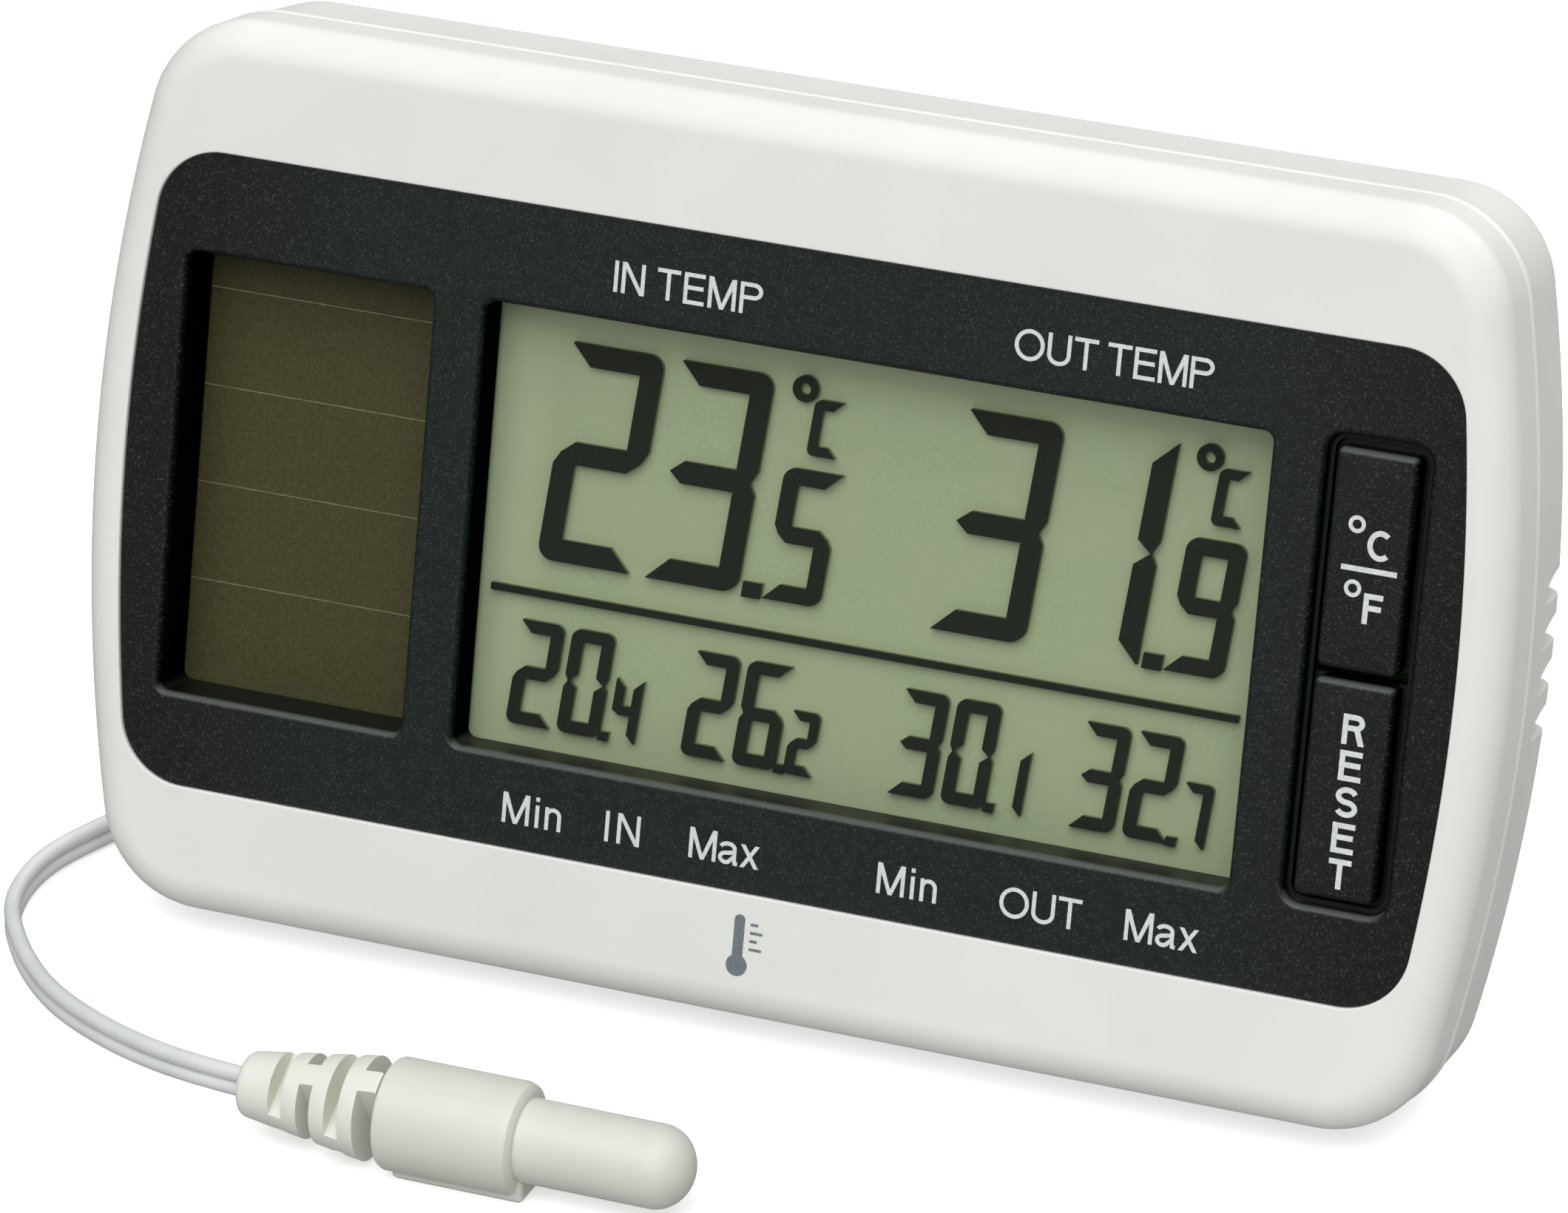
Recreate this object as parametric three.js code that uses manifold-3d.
// Solar indoor and outdoor maximum minimum thermometer: a desk case that leans back on a folding
// stand, with a twin-core cable that runs from its back to an outdoor probe lying on the table.
// Millimetres, +Z up, +X to the right as the display is read, +Y to the back.
// The origin is the middle of the whole thermometer's footprint, on the table.
import * as THREE from "three";
import { mergeVertices } from "three/addons/utils/BufferGeometryUtils.js";
import Module from "manifold-3d";

const wasm = await Module();
wasm.setup();

// Driving dimensions. Inside the case, Y is the depth behind the bezel's front face.
const LEAN = THREE.MathUtils.degToRad(13);
const CASE = { halfWidth: 57.3, halfHeight: 35.2, sideRadius: 142, corner: 8.5 };
const BEZEL = { halfWidth: 53.8, halfHeight: 25, sideRadius: 159, corner: 5.3 };
const FRONT_FACE = -0.3;
const EDGE = 3; // radius of the case's front and back edges
const WALL = 1.8;
const PARTING = 6.5; // depth of the front shell's rim
const BACK_FACE = 17.8;
const BACK_STEP = 0.2; // how far the back shell stands in from the front shell's side
const BACK_DRAFT = 0.5; // how far the back shell's sides draw in towards the back
const BACK_INSET = 0.3; // how far the back edge stands in at the top and bottom
const LIP = 2.05; // inset of the back shell's locating lip
const CEILING = 3; // depth of the front shell's inner face
const FLOOR = 15.8; // depth of the back shell's inner face
const BEZEL_BACK = 1.6;
const LEDGE = 2.1; // width of the ledge that the bezel sits on
const GAP = 0.3; // clearance between neighbouring pieces
const PLAY = 0.2; // clearance round the bezel

// The windows have upright walls that run back as collars to the cell and the glass behind them.
const ROLL = 0.45; // how far the windows' front edges are rounded
const COLLAR_WALL = 0.5;
const SOLAR = { x: [-49.8, -29.2], z: [-17.8, 17.05], radius: 0.8, collar: 4.9 };
const DISPLAY = { x: [-25, 38], z: [-17.8, 17.05], radius: 0.8, collar: 3.5 };
const WELL = { x: [42.1, 50.3], z: [-17.9, 17.9], radius: 1.5 };
const BUTTON = { inset: 1, low: 0.45, high: 16.9, proud: 0.3, radius: 0.8, edge: 0.4 };
const FLANGE = { x: [41.5, 51], high: 18.7, thick: 1 };
const STEM = { x: (WELL.x[0] + WELL.x[1]) / 2, z: 8.7, half: 1, back: 4.7 };
const FLANGE_POCKET = { x: [41, 52.2], z: [-19.2, 19.2] };

const BOARD = { x: [-30, 50.5], halfHeight: 28, front: 7.5, back: 9.1, notch: [42.5, 22.5] };
const CASE_SCREW = { x: 46.5, z: 26.5, boss: 3, bossEnd: 11, pilot: 1.45, shank: 1.15, tip: 4.6 };
const CASE_SCREW_HEAD = { radius: 2.5, y: [13.3, 14.9], seat: 13, bore: 2.9, clearance: 1.6, post: 3.8 };
const BOARD_SCREW = { x: [-26, 38], z: 25.6, boss: 2.2, pilot: 1.25, shank: 0.95, tip: 4.4 };
const BOARD_SCREW_HEAD = { radius: 2.1, height: 1.2, hole: 1.3 };
const PILOT_START = 4; // depth of the pilot holes' blind ends
const OUTSIDE = 20; // a depth behind the whole case

const VENT = { centre: 0.45, pitch: 3.5, width: 1.5, count: 4, start: 11.3, inner: 47 };
const BATTERY = { x: 30, z: -8, radius: 5.8, y: [10.6, 16] };
const BATTERY_WELL = { radius: 6.2, outside: 7.3, front: 10 };
const CONTACT = { half: 2, slotX: [22, 25], upright: [23.4, 23.8], foot: 20.8, top: 15.2, back: 9.8 };
const DOOR = { x: [20, 40], z: [-17, 1], radius: 1.5, seat: 16.4, wall: 14.8 };
const STAND = { hingeY: 16.2, hingeZ: 12, half: 1.1, width: 26, length: 46.4, heel: 0.9, pin: 1.1 };
const RECESS = { floor: 14.7, side: 0.5, head: 3, wall: 12.8, bottom: -33.5, pinPlay: 0.2 };
const STAND_WINDOW = { x: [-8, 8], z: [-36, -6], radius: 3 };
const KEYHOLE = { head: 3.6, neck: 1.8, low: 22.5, high: 28, front: 12 };
const GROMMET = { x: -38, z: -25, neck: 2.4, flange: 3.4 };

const CORE = { radius: 0.65, offset: 0.6 }; // one core of the flat cable, and its offset from the web
const PROBE = { y: -32.5, z: 4.3, sleeve: 4.3, cap: 3.2, tip: 7.1 };
const BOOT = { start: -29.1, end: -17.45, small: 2.55, large: 4.2 };
const BOOT_SLOT = { start: -26.05, pitch: 2.45, width: 1.15, web: 0.9, count: 4, turn: -60 };
const SLEEVE = { start: -17.15, end: -6.1 };

// How finely round shapes are divided.
const SIDE_STEPS = 4;
const CORNER_STEPS = 4;
const FILLET_STEPS = 3;
const CORE_STEPS = 6;
const ROUND_SIDES = 16;
const SHANK_SIDES = 12;

// The case stands on its lower back edge, which has a narrow flat moulded at the leaning angle.
const REST_FLAT = 0.12;
const edgeCentre = { y: BACK_FACE - EDGE, z: CASE.halfHeight - BACK_INSET - EDGE };
const caseHeight = edgeCentre.y * Math.sin(LEAN) + edgeCentre.z * Math.cos(LEAN) + EDGE - REST_FLAT;

// The stand opens until its foot reaches the table.
const hingeHeight = caseHeight - STAND.hingeY * Math.sin(LEAN) + STAND.hingeZ * Math.cos(LEAN);
const standReach = STAND.length - STAND.half;
const STAND_OPEN = LEAN + Math.acos((hingeHeight - STAND.half) / standReach);

// --- solids -------------------------------------------------------------------------------------

// Turns a closed geometry into a solid that can be joined and cut.
function solid(geometry) {
  const bare = new THREE.BufferGeometry();
  bare.setAttribute("position", geometry.getAttribute("position"));
  if (geometry.index) bare.setIndex(geometry.index);
  const merged = mergeVertices(bare, 1e-4);
  const triVerts = new Uint32Array(merged.index.array);
  const vertProperties = new Float32Array(merged.attributes.position.array);
  const made = new wasm.Manifold(new wasm.Mesh({ numProp: 3, vertProperties, triVerts }));
  if (made.volume() > 0) return made;
  for (let i = 0; i < triVerts.length; i += 3) {
    [triVerts[i + 1], triVerts[i + 2]] = [triVerts[i + 2], triVerts[i + 1]];
  }
  return new wasm.Manifold(new wasm.Mesh({ numProp: 3, vertProperties, triVerts }));
}

// Turns a solid back into a geometry.
function geometryOf(made) {
  const mesh = made.getMesh();
  const geometry = new THREE.BufferGeometry();
  geometry.setAttribute("position", new THREE.BufferAttribute(mesh.vertProperties, 3));
  geometry.setIndex(new THREE.BufferAttribute(mesh.triVerts, 1));
  geometry.computeVertexNormals();
  return geometry;
}

// A box between two values on each axis, turned about the X axis if an angle is given.
function block(x, y, z, turn = 0) {
  const box = new THREE.BoxGeometry(x[1] - x[0], y[1] - y[0], z[1] - z[0]);
  box.translate((x[0] + x[1]) / 2, (y[0] + y[1]) / 2, (z[0] + z[1]) / 2);
  return solid(box.rotateX(turn));
}

// A round bar along the depth, between two depths.
function rod(radius, y, x, z, sides = ROUND_SIDES) {
  const bar = new THREE.CylinderGeometry(radius, radius, y[1] - y[0], sides);
  return solid(bar.translate(x, (y[0] + y[1]) / 2, z));
}

// A round bar along X, between two places.
function crossRod(radius, x, y, z, sides = ROUND_SIDES) {
  const bar = new THREE.CylinderGeometry(radius, radius, x[1] - x[0], sides);
  return solid(bar.rotateZ(Math.PI / 2).translate((x[0] + x[1]) / 2, y, z));
}

// A profile of [distance along X, radius] pairs turned round the X axis.
function turned(profile, sides = ROUND_SIDES) {
  const points = profile.map(([along, radius]) => new THREE.Vector2(radius, along));
  return solid(new THREE.LatheGeometry(points, sides).rotateZ(-Math.PI / 2));
}

// Joins loops of equal length into one closed skin, with a flat fan on each end.
function loft(loops) {
  const n = loops[0].length;
  const middle = (loop) => loop.reduce((sum, p) => sum.add(p), new THREE.Vector3()).divideScalar(n);
  const points = [...loops.flat(), middle(loops[0]), middle(loops.at(-1))];
  const index = [];
  for (let i = 0; i < loops.length - 1; i++) {
    for (let j = 0; j < n; j++) {
      const k = (j + 1) % n;
      const [a, b, c, d] = [i * n + j, i * n + k, (i + 1) * n + k, (i + 1) * n + j];
      index.push(a, b, c, a, c, d);
    }
  }
  const last = (loops.length - 1) * n;
  const [startHub, endHub] = [points.length - 2, points.length - 1];
  for (let j = 0; j < n; j++) {
    const k = (j + 1) % n;
    index.push(startHub, k, j, endHub, last + j, last + k);
  }
  const geometry = new THREE.BufferGeometry().setFromPoints(points);
  geometry.setIndex(index);
  return solid(geometry);
}

// A loop with bowed sides, level top and bottom and round corners, drawn in by dx and dz.
function bowed(outline, y, dx = 0, dz = dx) {
  const halfHeight = outline.halfHeight - dz;
  const side = outline.sideRadius - dx;
  const corner = Math.max(outline.corner - (dx + dz) / 2, 0.5);
  const sideX = outline.halfWidth - dx - side;
  const cornerZ = halfHeight - corner;
  const cornerX = sideX + Math.sqrt((side - corner) ** 2 - cornerZ ** 2);
  const sweep = Math.atan2(cornerZ, cornerX - sideX);
  const quarter = [];
  for (let i = 0; i <= SIDE_STEPS; i++) {
    const angle = (sweep * i) / SIDE_STEPS;
    quarter.push([sideX + side * Math.cos(angle), side * Math.sin(angle)]);
  }
  for (let i = 1; i <= CORNER_STEPS; i++) {
    const angle = sweep + ((Math.PI / 2 - sweep) * i) / CORNER_STEPS;
    quarter.push([cornerX + corner * Math.cos(angle), cornerZ + corner * Math.sin(angle)]);
  }
  const back = [...quarter].reverse();
  return [
    ...quarter,
    ...back.map(([x, z]) => [-x, z]),
    ...quarter.slice(1).map(([x, z]) => [-x, -z]),
    ...back.slice(0, -1).map(([x, z]) => [x, -z]),
  ].map(([x, z]) => new THREE.Vector3(x, y, z));
}

// A rectangular loop with round corners, drawn in by an inset.
function rounded({ x, z, radius }, y, inset = 0) {
  const r = Math.max(radius - inset, 0.25);
  const corners = [
    [x[1] - inset - r, z[1] - inset - r],
    [x[0] + inset + r, z[1] - inset - r],
    [x[0] + inset + r, z[0] + inset + r],
    [x[1] - inset - r, z[0] + inset + r],
  ];
  return corners.flatMap(([cx, cz], quarter) => {
    const arc = [];
    for (let i = 0; i <= 4; i++) {
      const angle = (Math.PI / 2) * (quarter + i / 4);
      arc.push(new THREE.Vector3(cx + r * Math.cos(angle), y, cz + r * Math.sin(angle)));
    }
    return arc;
  });
}

// Loops round a quarter-round edge, from the side wall to a face.
function filletLoops(outline, wallY, towards, dx, dz) {
  const loops = [];
  for (let i = 0; i <= FILLET_STEPS; i++) {
    const angle = (Math.PI / 2) * (i / FILLET_STEPS);
    const inward = EDGE * (1 - Math.cos(angle));
    loops.push(bowed(outline, wallY + towards * EDGE * Math.sin(angle), dx + inward, dz + inward));
  }
  return loops;
}

const wider = ([low, high], by) => [low - by, high + by];
const upAndDown = (half) => [-half, half];
const contactHeights = wider([BATTERY.z, BATTERY.z], CONTACT.half);
const mirrored = (values) => values.flatMap((value) => [value, -value]);
const caseScrewPlaces = mirrored([CASE_SCREW.x]).flatMap((x) => mirrored([CASE_SCREW.z]).map((z) => [x, z]));
const boardScrewPlaces = BOARD_SCREW.x.flatMap((x) => mirrored([BOARD_SCREW.z]).map((z) => [x, z]));

// --- case ---------------------------------------------------------------------------------------

function frontShell() {
  let shell = loft([
    bowed(CASE, CEILING, WALL),
    bowed(CASE, PARTING, WALL),
    bowed(CASE, PARTING, 0.25),
    bowed(CASE, PARTING - 0.25),
    ...filletLoops(CASE, FRONT_FACE + EDGE, -1, 0, 0),
  ]);
  shell = shell.subtract(loft([bowed(BEZEL, -2, -PLAY), bowed(BEZEL, BEZEL_BACK + GAP, -PLAY)]));
  shell = shell.subtract(loft([bowed(BEZEL, 1, LEDGE), bowed(BEZEL, CEILING + 1, LEDGE)]));
  // Pocket in the ledge for the buttons' flanges.
  shell = shell.subtract(block(FLANGE_POCKET.x, [BEZEL_BACK + 0.1, CEILING + 1], FLANGE_POCKET.z));
  const bossStart = CEILING - 0.5;
  for (const [x, z] of caseScrewPlaces) {
    shell = shell.add(rod(CASE_SCREW.boss, [bossStart, CASE_SCREW.bossEnd], x, z));
    shell = shell.subtract(rod(CASE_SCREW.pilot, [PILOT_START, OUTSIDE], x, z));
  }
  for (const [x, z] of boardScrewPlaces) {
    shell = shell.add(rod(BOARD_SCREW.boss, [bossStart, BOARD.front - GAP], x, z));
    shell = shell.subtract(rod(BOARD_SCREW.pilot, [PILOT_START, OUTSIDE], x, z));
  }
  return shell;
}

function bezel() {
  let plate = loft([bowed(BEZEL, 0, 0.25), bowed(BEZEL, 0.25), bowed(BEZEL, BEZEL_BACK)]);
  for (const window of [SOLAR, DISPLAY]) {
    const outside = -COLLAR_WALL;
    plate = plate.add(loft([rounded(window, 1, outside), rounded(window, window.collar, outside)]));
  }
  for (const window of [SOLAR, DISPLAY, WELL]) {
    const front = [rounded(window, -ROLL, -2 * ROLL), rounded(window, 0, -ROLL)];
    const rolled = [rounded(window, 0.3 * ROLL, -0.3 * ROLL), rounded(window, ROLL)];
    plate = plate.subtract(loft([...front, ...rolled, rounded(window, 6)]));
  }
  return plate;
}

function backShell() {
  const rim = PARTING + GAP;
  let shell = loft([
    bowed(CASE, FLOOR, 3.4, 2.4),
    bowed(CASE, 8.2, 2.6, 2.3),
    bowed(CASE, 7.4, 3.2),
    bowed(CASE, 5, 3.2),
    bowed(CASE, 5, LIP),
    bowed(CASE, rim, LIP),
    bowed(CASE, rim, BACK_STEP + 0.25),
    bowed(CASE, rim + 0.25, BACK_STEP),
    ...filletLoops(CASE, BACK_FACE - EDGE, 1, BACK_STEP + BACK_DRAFT, BACK_INSET),
  ]);
  // Thickened walls behind the stand and round the battery, and posts for the case screws.
  const inFloor = FLOOR + 0.5;
  const standWall = wider([-STAND.width / 2, STAND.width / 2], 3);
  const standHeights = [RECESS.bottom, STAND.hingeZ + 5];
  shell = shell.add(block(standWall, [RECESS.wall, inFloor], standHeights));
  shell = shell.add(block(wider(DOOR.x, 1.5), [DOOR.wall, inFloor], wider(DOOR.z, 1.5)));
  shell = shell.add(rod(BATTERY_WELL.outside, [BATTERY_WELL.front, FLOOR], BATTERY.x, BATTERY.z));
  const head = CASE_SCREW_HEAD;
  for (const [x, z] of caseScrewPlaces) {
    shell = shell.add(rod(head.post, [CASE_SCREW.bossEnd + GAP, inFloor], x, z));
  }
  shell = shell.subtract(standRecess()).subtract(batteryOpening()).subtract(keyhole());
  for (const [x, z] of caseScrewPlaces) {
    shell = shell.subtract(rod(head.clearance, [CASE_SCREW.bossEnd - 1, OUTSIDE], x, z));
    shell = shell.subtract(rod(head.bore, [head.seat, OUTSIDE], x, z));
  }
  for (let i = 0; i < VENT.count; i++) {
    const z = VENT.centre + VENT.pitch * (i - (VENT.count - 1) / 2);
    const slot = [z - VENT.width / 2, z + VENT.width / 2];
    shell = shell.subtract(block([VENT.inner, CASE.halfWidth + 1], [VENT.start, OUTSIDE], slot));
  }
  shell = shell.subtract(rod(GROMMET.neck + GAP, [FLOOR - 1, OUTSIDE], GROMMET.x, GROMMET.z));
  return shell.subtract(belowTable());
}

// The space the folded stand drops into, with a socket for each hinge pin.
function standRecess() {
  const sides = upAndDown(STAND.width / 2 + RECESS.side);
  const heights = [-CASE.halfHeight - 5, STAND.hingeZ + RECESS.head];
  const pocket = block(sides, [RECESS.floor, OUTSIDE], heights);
  const socketRadius = STAND.pin + RECESS.pinPlay;
  return pocket.add(crossRod(socketRadius, wider(sides, 1.4), STAND.hingeY, STAND.hingeZ));
}

// The door's seat, the battery's round well, and the slot for the side contact.
function batteryOpening() {
  const seat = loft([rounded(DOOR, DOOR.seat), rounded(DOOR, OUTSIDE)]);
  const front = BATTERY_WELL.front - 1;
  const well = rod(BATTERY_WELL.radius, [front, OUTSIDE], BATTERY.x, BATTERY.z);
  const slot = block(CONTACT.slotX, [front, FLOOR], wider(contactHeights, 0.5));
  return seat.add(well).add(slot);
}

// A keyhole to hang the case on a screw head.
function keyhole() {
  const { low, high } = KEYHOLE;
  const depths = [KEYHOLE.front, OUTSIDE];
  const neck = block(upAndDown(KEYHOLE.neck), depths, [low, high]);
  return rod(KEYHOLE.head, depths, 0, low).add(neck).add(rod(KEYHOLE.neck, depths, 0, high));
}

// Everything below the table, seen from the leaning case.
function belowTable() {
  const slab = new THREE.BoxGeometry(200, 100, 20).translate(0, 0, -10 - caseHeight);
  return solid(slab.rotateX(LEAN));
}

function batteryDoor() {
  const plate = loft([
    rounded(DOOR, DOOR.seat + GAP, GAP),
    rounded(DOOR, BACK_FACE - 0.2, GAP),
    rounded(DOOR, BACK_FACE, GAP + 0.2),
  ]);
  const padRadius = BATTERY.radius - 0.6;
  const pad = rod(padRadius, [BATTERY.y[1] + GAP, DOOR.seat + 0.5], BATTERY.x, BATTERY.z);
  const gripX = wider([BATTERY.x, BATTERY.x], 4);
  const grip = crossRod(0.9, gripX, BACK_FACE + 0.3, DOOR.z[1] - 3.4, 12);
  return plate.add(pad).subtract(grip);
}

// The stand, about its own hinge axis, hanging straight down as it does when folded.
function stand() {
  const half = STAND.width / 2;
  const side = [
    [-STAND.half, STAND.heel],
    [STAND.half, STAND.heel],
    [STAND.half, -standReach],
  ];
  for (let i = 1; i < 6; i++) {
    const angle = (Math.PI * i) / 6;
    side.push([STAND.half * Math.cos(angle), -standReach - STAND.half * Math.sin(angle)]);
  }
  side.push([-STAND.half, -standReach]);
  const ends = [-half, half].map((x) => side.map(([y, z]) => new THREE.Vector3(x, y, z)));
  const leg = loft(ends);
  const opening = loft([rounded(STAND_WINDOW, -5), rounded(STAND_WINDOW, 5)]);
  const pins = crossRod(STAND.pin, [-half - 1.2, half + 1.2], 0, 0);
  return leg.add(pins).subtract(opening);
}

// --- buttons and their switches -----------------------------------------------------------------

// One button: a face that fills its half of the well, a flange behind the bezel, and a stem.
function button(sign) {
  const zRange = (low, high) => [sign * low, sign * high].sort((a, b) => a - b);
  const face = {
    x: [WELL.x[0] + BUTTON.inset, WELL.x[1] - BUTTON.inset],
    z: zRange(BUTTON.low, BUTTON.high),
    radius: BUTTON.radius,
  };
  const front = -BUTTON.proud;
  const flange = [BEZEL_BACK + GAP, BEZEL_BACK + GAP + FLANGE.thick];
  const cap = loft([
    rounded(face, front, BUTTON.edge),
    rounded(face, front + 0.3 * BUTTON.edge, 0.3 * BUTTON.edge),
    rounded(face, front + BUTTON.edge),
    rounded(face, flange[1]),
  ]);
  const stemX = [STEM.x - STEM.half, STEM.x + STEM.half];
  const stem = block(stemX, [flange[0], STEM.back], zRange(STEM.z - STEM.half, STEM.z + STEM.half));
  return cap.add(block(FLANGE.x, flange, zRange(BUTTON.low, FLANGE.high))).add(stem);
}

// The stem stops 0.6 mm short of the switch's plunger, which is more than the button's travel.
function tactSwitch(sign) {
  const z = sign * STEM.z;
  const half = 2.6;
  const top = 5.9;
  const body = block([STEM.x - half, STEM.x + half], [top, BOARD.front - GAP], [z - half, z + half]);
  return body.add(rod(1.2, [top - 0.6, top + 0.6], STEM.x, z));
}

// --- display and solar cell ---------------------------------------------------------------------

const CELL = { x: [-51.1, -28.3], y: [SOLAR.collar + GAP, 6.4], halfHeight: 19 };
const GLASS = { x: [-25.9, 39.1], y: [DISPLAY.collar + GAP, 5.4], halfHeight: 18.9 };
const HOLDER_WALL = 1.1;
const REFLECTOR = { x: [-24.4, 37.6], thick: 0.3, halfHeight: 16.3 };
const STRIP = { x: [-24, 37.2], low: 17.6, high: 18.8 };
const THROUGH = [1, 9]; // depths between which a cutter passes through the display's holder

const solarCell = () => block(CELL.x, CELL.y, upAndDown(CELL.halfHeight));
const displayGlass = () => block(GLASS.x, GLASS.y, upAndDown(GLASS.halfHeight));

function displayReflector() {
  const front = GLASS.y[1] + GAP;
  return block(REFLECTOR.x, [front, front + REFLECTOR.thick], upAndDown(REFLECTOR.halfHeight));
}

// Frame that squares up the glass and the two contact strips in front of the board.
function displayHolder() {
  const pocketX = wider(GLASS.x, GAP);
  const pocketZ = upAndDown(GLASS.halfHeight + GAP);
  const outside = [GLASS.y[0], BOARD.front - GAP];
  const frame = block(wider(pocketX, HOLDER_WALL), outside, wider(pocketZ, HOLDER_WALL));
  const pocket = block(pocketX, [THROUGH[0], GLASS.y[1] + GAP], pocketZ);
  const window = block(wider(REFLECTOR.x, GAP), THROUGH, upAndDown(REFLECTOR.halfHeight + GAP));
  const slots = [1, -1].map((sign) => block(wider(STRIP.x, GAP), THROUGH, stripHeights(sign, GAP)));
  return frame.subtract(pocket).subtract(window).subtract(slots[0]).subtract(slots[1]);
}

function stripHeights(sign, clearance) {
  const heights = [sign * (STRIP.low - clearance), sign * (STRIP.high + clearance)];
  return heights.sort((a, b) => a - b);
}

function contactStrip(sign) {
  return block(STRIP.x, [GLASS.y[1] + GAP, BOARD.front - GAP], stripHeights(sign, 0));
}

// --- circuit board ------------------------------------------------------------------------------

function circuitBoard() {
  const [left, right] = BOARD.x;
  const [notchX, notchZ] = BOARD.notch;
  const top = BOARD.halfHeight;
  const shape = new THREE.Shape(
    [
      [left, -top],
      [notchX, -top],
      [notchX, -notchZ],
      [right, -notchZ],
      [right, notchZ],
      [notchX, notchZ],
      [notchX, top],
      [left, top],
    ].map(([x, z]) => new THREE.Vector2(x, z)),
  );
  const depth = BOARD.back - BOARD.front;
  const slab = new THREE.ExtrudeGeometry(shape, { depth, bevelEnabled: false, steps: 1 });
  let board = solid(slab.rotateX(Math.PI / 2).translate(0, BOARD.back, 0));
  for (const [x, z] of boardScrewPlaces) {
    board = board.subtract(rod(BOARD_SCREW_HEAD.hole, wider([BOARD.front, BOARD.back], 1), x, z));
  }
  return board;
}

const BEHIND_BOARD = BOARD.back + GAP;

const CHIP = { x: 4, z: -2, radius: 5.5, height: 1.7 };
const CRYSTAL = { x: [-14, -8], z: 14, radius: 1 };
const CAPACITOR = { x: -22, z: 10, radius: 2.5, height: 3 };
const ROOM_SENSOR = { x: 51.2, y: 13.4, bead: 1.2, foot: 48.8, leg: 0.2, spacing: 0.6 };

// Drop of black resin over the chip.
function chipBlob() {
  const steps = 5;
  const profile = [new THREE.Vector2(0, 0)];
  for (let i = 0; i < steps; i++) {
    const angle = (Math.PI / 2) * (i / steps);
    profile.push(new THREE.Vector2(CHIP.radius * Math.cos(angle), CHIP.height * Math.sin(angle)));
  }
  profile.push(new THREE.Vector2(0, CHIP.height));
  return solid(new THREE.LatheGeometry(profile, ROUND_SIDES).translate(CHIP.x, BEHIND_BOARD, CHIP.z));
}

function crystal() {
  return crossRod(CRYSTAL.radius, CRYSTAL.x, BEHIND_BOARD + CRYSTAL.radius, CRYSTAL.z);
}

function capacitor() {
  const { x, z, radius, height } = CAPACITOR;
  return rod(radius, [BEHIND_BOARD, BEHIND_BOARD + height], x, z);
}

// Bead on two bent legs, next to the vents.
function roomSensor() {
  const { x, y, bead, foot, leg, spacing } = ROOM_SENSOR;
  let sensor = solid(new THREE.SphereGeometry(bead, 12, 8).translate(x, y, VENT.centre));
  for (const offset of [-spacing, spacing]) {
    const z = wider([VENT.centre + offset, VENT.centre + offset], leg);
    sensor = sensor.add(block([foot - leg, foot + leg], [BEHIND_BOARD, y + leg], z));
    sensor = sensor.add(block([foot - leg, x], [y - leg, y + leg], z));
  }
  return sensor;
}

function boardScrew(x, z) {
  const { radius, height } = BOARD_SCREW_HEAD;
  const head = rod(radius, [BEHIND_BOARD, BEHIND_BOARD + height], x, z);
  const shank = rod(BOARD_SCREW.shank, [BOARD_SCREW.tip, BEHIND_BOARD + 0.5], x, z, SHANK_SIDES);
  const slotY = [BEHIND_BOARD + height - 0.5, BEHIND_BOARD + height + 1];
  return head.add(shank).subtract(block(wider([x, x], 1.4), slotY, wider([z, z], 0.25)));
}

function caseScrew(x, z) {
  const [front, back] = CASE_SCREW_HEAD.y;
  const head = rod(CASE_SCREW_HEAD.radius, [front, back], x, z);
  const shank = rod(CASE_SCREW.shank, [CASE_SCREW.tip, front + 0.5], x, z, SHANK_SIDES);
  const [long, narrow] = [1.6, 0.3];
  const crossY = [back - 0.8, back + 1];
  const across = block(wider([x, x], long), crossY, wider([z, z], narrow));
  const down = block(wider([x, x], narrow), crossY, wider([z, z], long));
  return head.add(shank).subtract(across).subtract(down);
}

// --- battery ------------------------------------------------------------------------------------

function battery() {
  const [front, back] = BATTERY.y;
  const can = rod(BATTERY.radius, [front + 0.5, back], BATTERY.x, BATTERY.z);
  return can.add(rod(BATTERY.radius - 0.7, [front, back - 1], BATTERY.x, BATTERY.z));
}

// Flat blade on the board with a raised button that presses the battery's small face.
function faceContact() {
  const { x, z } = BATTERY;
  const blade = block(wider([x, x], 4), [BEHIND_BOARD, CONTACT.back], contactHeights);
  return blade.add(rod(1.6, [CONTACT.back - 0.2, BATTERY.y[0] - GAP], x, z));
}

// Upright blade that touches the battery's can.
function sideContact() {
  const upright = block(CONTACT.upright, [BEHIND_BOARD, CONTACT.top], contactHeights);
  const footX = [CONTACT.foot, CONTACT.upright[1]];
  return upright.add(block(footX, [BEHIND_BOARD, CONTACT.back], contactHeights));
}

// --- cables and probe ---------------------------------------------------------------------------

// Sweeps a loop of [across, up] points along a curve, keeping the loop upright.
function sweep(section, curve, steps) {
  const loops = [];
  for (let i = 0; i <= steps; i++) {
    const at = curve.getPointAt(i / steps);
    const along = curve.getTangentAt(i / steps);
    const up = new THREE.Vector3(0, 0, 1).addScaledVector(along, -along.z).normalize();
    const across = new THREE.Vector3().crossVectors(along, up);
    loops.push(
      section.map(([a, u]) => at.clone().addScaledVector(across, a).addScaledVector(up, u)),
    );
  }
  return loft(loops);
}

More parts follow.
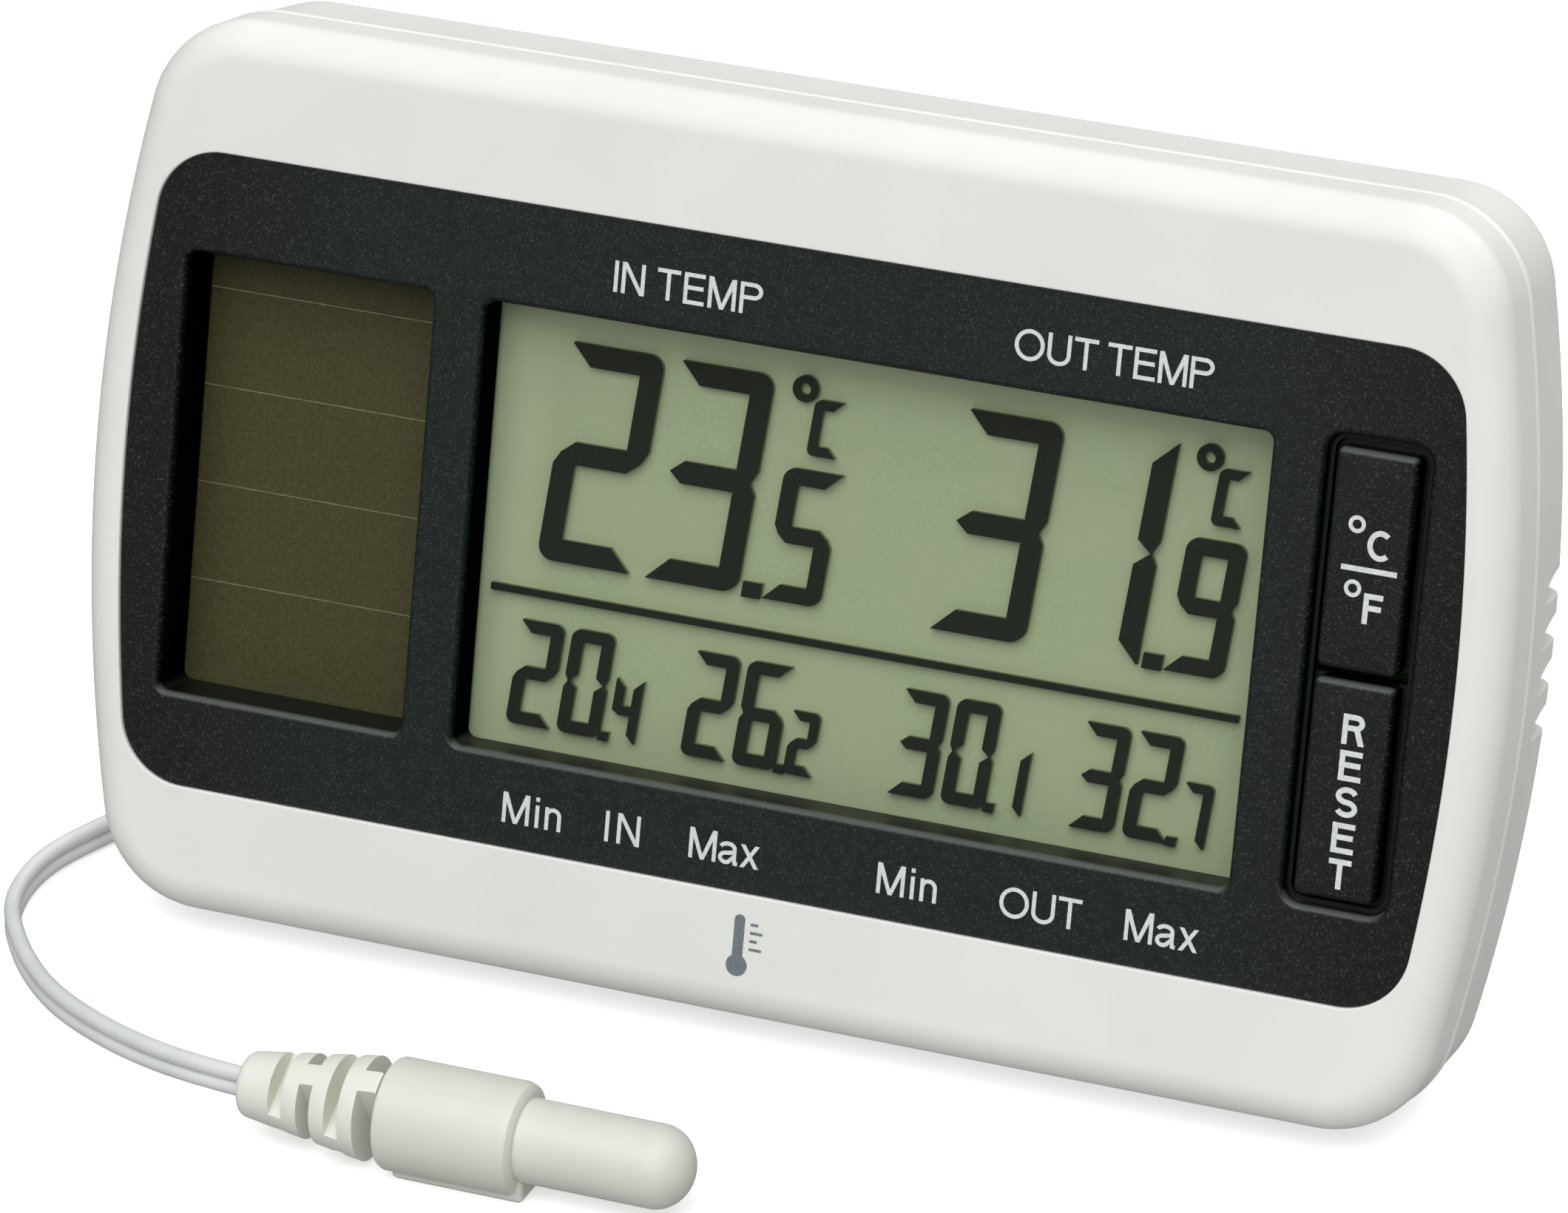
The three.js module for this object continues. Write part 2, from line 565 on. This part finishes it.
// Section of the flat cable: two round cores, one over the other, joined by a thin web.
function twinCore() {
  const waist = Math.acos(CORE.offset / CORE.radius);
  const sweepAngle = Math.PI - waist;
  const points = [];
  for (const sign of [1, -1]) {
    for (let i = 0; i < CORE_STEPS; i++) {
      const angle = sweepAngle * (1 - (2 * i) / CORE_STEPS);
      const across = sign * CORE.radius * Math.sin(angle);
      points.push([across, sign * (CORE.offset + CORE.radius * Math.cos(angle))]);
    }
  }
  return points;
}

// A place inside the leaning case, in the table's frame.
function onTable(x, y, z) {
  const place = new THREE.Vector3(x, y, z).applyAxisAngle(new THREE.Vector3(1, 0, 0), -LEAN);
  return place.add(new THREE.Vector3(0, 0, caseHeight));
}

// The cable leaves the case's back, loops round its left side and comes to the probe in front.
function sensorCable() {
  const flat = CORE.radius + CORE.offset + 0.05; // height of the cable's web when it lies on edge
  const curve = new THREE.CatmullRomCurve3(
    [
      onTable(GROMMET.x, 11.5, GROMMET.z),
      onTable(GROMMET.x, 15.5, GROMMET.z),
      onTable(GROMMET.x, 19.5, GROMMET.z),
      new THREE.Vector3(-39.6, 18.6, 6.9),
      new THREE.Vector3(-44.5, 22, 4.2),
      new THREE.Vector3(-51, 19.8, 2),
      new THREE.Vector3(-56, 13.8, flat),
      new THREE.Vector3(-59.3, 6, flat),
      new THREE.Vector3(-61.4, -1.4, flat),
      new THREE.Vector3(-60.6, -8.4, flat),
      new THREE.Vector3(-56.8, -15.2, 1.7),
      new THREE.Vector3(-50.9, -21.9, 2.2),
      new THREE.Vector3(-43.8, -27.2, 3.05),
      new THREE.Vector3(-36.4, -30.9, 3.9),
      new THREE.Vector3(BOOT.start, PROBE.y, PROBE.z),
      new THREE.Vector3(BOOT.start + 2.2, PROBE.y, PROBE.z),
    ],
    false,
    "centripetal",
  );
  return sweep(twinCore(), curve, 44);
}

// Round bush with a flange on each side of the back wall, slotted for the cable.
function cableGrommet() {
  const { x, z, neck, flange } = GROMMET;
  const inner = rod(3.2, [14.2, FLOOR - GAP], x, z);
  const middle = rod(neck, [15, BACK_FACE + 0.6], x, z);
  const outer = rod(flange, [BACK_FACE + GAP, BACK_FACE + 1.3], x, z);
  const halfWidth = CORE.radius + GAP;
  const halfHeight = CORE.radius + CORE.offset + GAP;
  const hole = block([x - halfWidth, x + halfWidth], [10, 25], [z - halfHeight, z + halfHeight]);
  return inner.add(middle).add(outer).subtract(hole);
}

// One wire from the back of the solar cell to the back of the board.
function solarLead(z) {
  const radius = 0.45;
  const points = [
    [-41, 7.2, z],
    [-38, 8.3, z],
    [-34, 9.5, z * 0.9],
    [-30, 10, z * 0.8],
    [-27, 9.9, z * 0.8],
  ];
  const curve = new THREE.CatmullRomCurve3(points.map((p) => new THREE.Vector3(...p)));
  const circle = [];
  for (let i = 0; i < 8; i++) {
    const angle = (Math.PI * i) / 4;
    circle.push([radius * Math.cos(angle), radius * Math.sin(angle)]);
  }
  return sweep(circle, curve, 12);
}

// Tapered boot with slots cut by turns from two directions, so that it bends. The last slot runs out
// through the boot's end.
function probeBoot() {
  const { start, end, small, large } = BOOT;
  let boot = turned([
    [start, 0],
    [start, small - 0.8],
    [start + 0.25, small - 0.3],
    [start + 0.8, small],
    [end - 0.3, large],
    [end, large - 0.2],
    [end, 0],
  ]);
  const pocket = { across: CORE.radius + GAP, up: CORE.radius + CORE.offset + GAP };
  boot = boot.subtract(
    block([start - 1, start + 2.5], [-pocket.across, pocket.across], [-pocket.up, pocket.up]),
  );
  const { web, count } = BOOT_SLOT;
  const turn = THREE.MathUtils.degToRad(BOOT_SLOT.turn);
  const across = upAndDown(large * 2);
  for (let i = 0; i < count; i++) {
    const slotStart = BOOT_SLOT.start + BOOT_SLOT.pitch * i;
    const slot = [slotStart, i === count - 1 ? end + 1 : slotStart + BOOT_SLOT.width];
    for (const side of [
      [web, large * 2],
      [-large * 2, -web],
    ]) {
      boot = boot.subtract(i % 2 ? block(slot, across, side, turn) : block(slot, side, across, turn));
    }
  }
  return boot;
}

// Round sleeve with a flat land underneath, so that the probe does not roll.
function probeSleeve() {
  const { start, end } = SLEEVE;
  const radius = PROBE.sleeve;
  let sleeve = turned([
    [start, 0],
    [start, radius - 0.4],
    [start + 0.4, radius],
    [end - 0.8, radius],
    [end - 0.2, radius - 0.35],
    [end, radius - 0.8],
    [end, 0],
  ]);
  sleeve = sleeve.add(block([start + 0.8, end + 0.3], [-2.2, 2.2], [-radius, -radius + 2]));
  return sleeve.subtract(crossRod(PROBE.cap + 0.2, [end - 3, end + 1], 0, 0));
}

// Thin-walled cap over the sensor, closed by a dome.
function probeCap() {
  const { cap, tip } = PROBE;
  const start = SLEEVE.end - 2.7;
  const domeStart = tip - 2.9;
  const bore = cap - 0.8;
  const profile = [
    [tip - 3.4, 0],
    [tip - 3.6, bore * 0.7],
    [tip - 4.2, bore],
    [start, bore],
    [start, cap],
    [domeStart, cap],
  ];
  for (let i = 1; i <= 6; i++) {
    const angle = (Math.PI / 2) * (i / 6);
    profile.push([domeStart + 2.9 * Math.sin(angle), cap * Math.cos(angle)]);
  }
  profile.at(-1)[1] = 0;
  return turned(profile);
}

// Sensor bead on its two legs, inside the cap.
function probeSensor() {
  const bead = solid(new THREE.SphereGeometry(1.3, 12, 8).translate(0.6, 0, 0));
  const leg = (y) => block([SLEEVE.end - 2.4, 0.6], [y - 0.2, y + 0.2], [-0.2, 0.2]);
  return bead.add(leg(0.6)).add(leg(-0.6));
}

// --- assembly -----------------------------------------------------------------------------------

const plastic = (color, roughness) => new THREE.MeshStandardMaterial({ color, roughness, metalness: 0 });
const metal = (color, roughness) => new THREE.MeshStandardMaterial({ color, roughness, metalness: 1 });
const white = () => plastic(0xe4e7e6, 0.45);
const charcoal = () => plastic(0x2b2f33, 0.6);
const ivory = () => plastic(0xdcddd2, 0.5);

function place(group, name, made, material) {
  const mesh = new THREE.Mesh(geometryOf(made), material);
  mesh.name = name;
  group.add(mesh);
}

const thermometer = new THREE.Group();

const body = new THREE.Group();
body.rotation.x = -LEAN;
body.position.z = caseHeight;
thermometer.add(body);

place(body, "front_shell", frontShell(), white());
place(body, "bezel", bezel(), charcoal());
place(body, "back_shell", backShell(), white());
place(body, "battery_door", batteryDoor(), white());
place(body, "unit_button", button(1), charcoal());
place(body, "reset_button", button(-1), charcoal());
place(body, "unit_switch", tactSwitch(1), plastic(0x1c1c1e, 0.6));
place(body, "reset_switch", tactSwitch(-1), plastic(0x1c1c1e, 0.6));
place(body, "solar_cell", solarCell(), plastic(0x4a4230, 0.25));
place(body, "display_glass", displayGlass(), plastic(0x9ba586, 0.35));
place(body, "display_reflector", displayReflector(), plastic(0xb4b8ab, 0.5));
place(body, "display_holder", displayHolder(), plastic(0xe8e8e4, 0.6));
place(body, "upper_contact_strip", contactStrip(1), plastic(0x3a3a3c, 0.8));
place(body, "lower_contact_strip", contactStrip(-1), plastic(0x3a3a3c, 0.8));
place(body, "circuit_board", circuitBoard(), plastic(0x2f6b3c, 0.5));
place(body, "chip_resin", chipBlob(), plastic(0x101012, 0.35));
place(body, "crystal", crystal(), metal(0xc8ccd0, 0.3));
place(body, "capacitor", capacitor(), plastic(0x24303a, 0.4));
place(body, "room_sensor", roomSensor(), plastic(0x20251f, 0.5));
place(body, "battery", battery(), metal(0xcfd2d4, 0.25));
place(body, "battery_face_contact", faceContact(), metal(0xc9b878, 0.35));
place(body, "battery_side_contact", sideContact(), metal(0xc9b878, 0.35));
place(body, "solar_lead_upper", solarLead(-4), plastic(0xa02a22, 0.5));
place(body, "solar_lead_lower", solarLead(-8), plastic(0x202022, 0.5));
place(body, "cable_grommet", cableGrommet(), plastic(0xc9cbc8, 0.7));
caseScrewPlaces.forEach(([x, z], i) => {
  place(body, `case_screw_${i + 1}`, caseScrew(x, z), metal(0xa9adb0, 0.35));
});
boardScrewPlaces.forEach(([x, z], i) => {
  place(body, `board_screw_${i + 1}`, boardScrew(x, z), metal(0xa9adb0, 0.35));
});

const standHinge = new THREE.Group();
standHinge.position.set(0, STAND.hingeY, STAND.hingeZ);
standHinge.rotation.x = STAND_OPEN;
body.add(standHinge);
place(standHinge, "stand", stand(), white());

place(thermometer, "sensor_cable", sensorCable(), plastic(0xccd0d2, 0.5));

const probe = new THREE.Group();
probe.position.set(0, PROBE.y, PROBE.z);
thermometer.add(probe);
place(probe, "probe_boot", probeBoot(), ivory());
place(probe, "probe_sleeve", probeSleeve(), ivory());
place(probe, "probe_cap", probeCap(), ivory());
place(probe, "probe_sensor", probeSensor(), plastic(0x20251f, 0.5));

// Move the middle of the footprint to the origin.
thermometer.updateMatrixWorld(true);
const middle = new THREE.Box3().setFromObject(thermometer, true).getCenter(new THREE.Vector3());
for (const child of thermometer.children) {
  child.position.x -= middle.x;
  child.position.y -= middle.y;
}

export default thermometer;
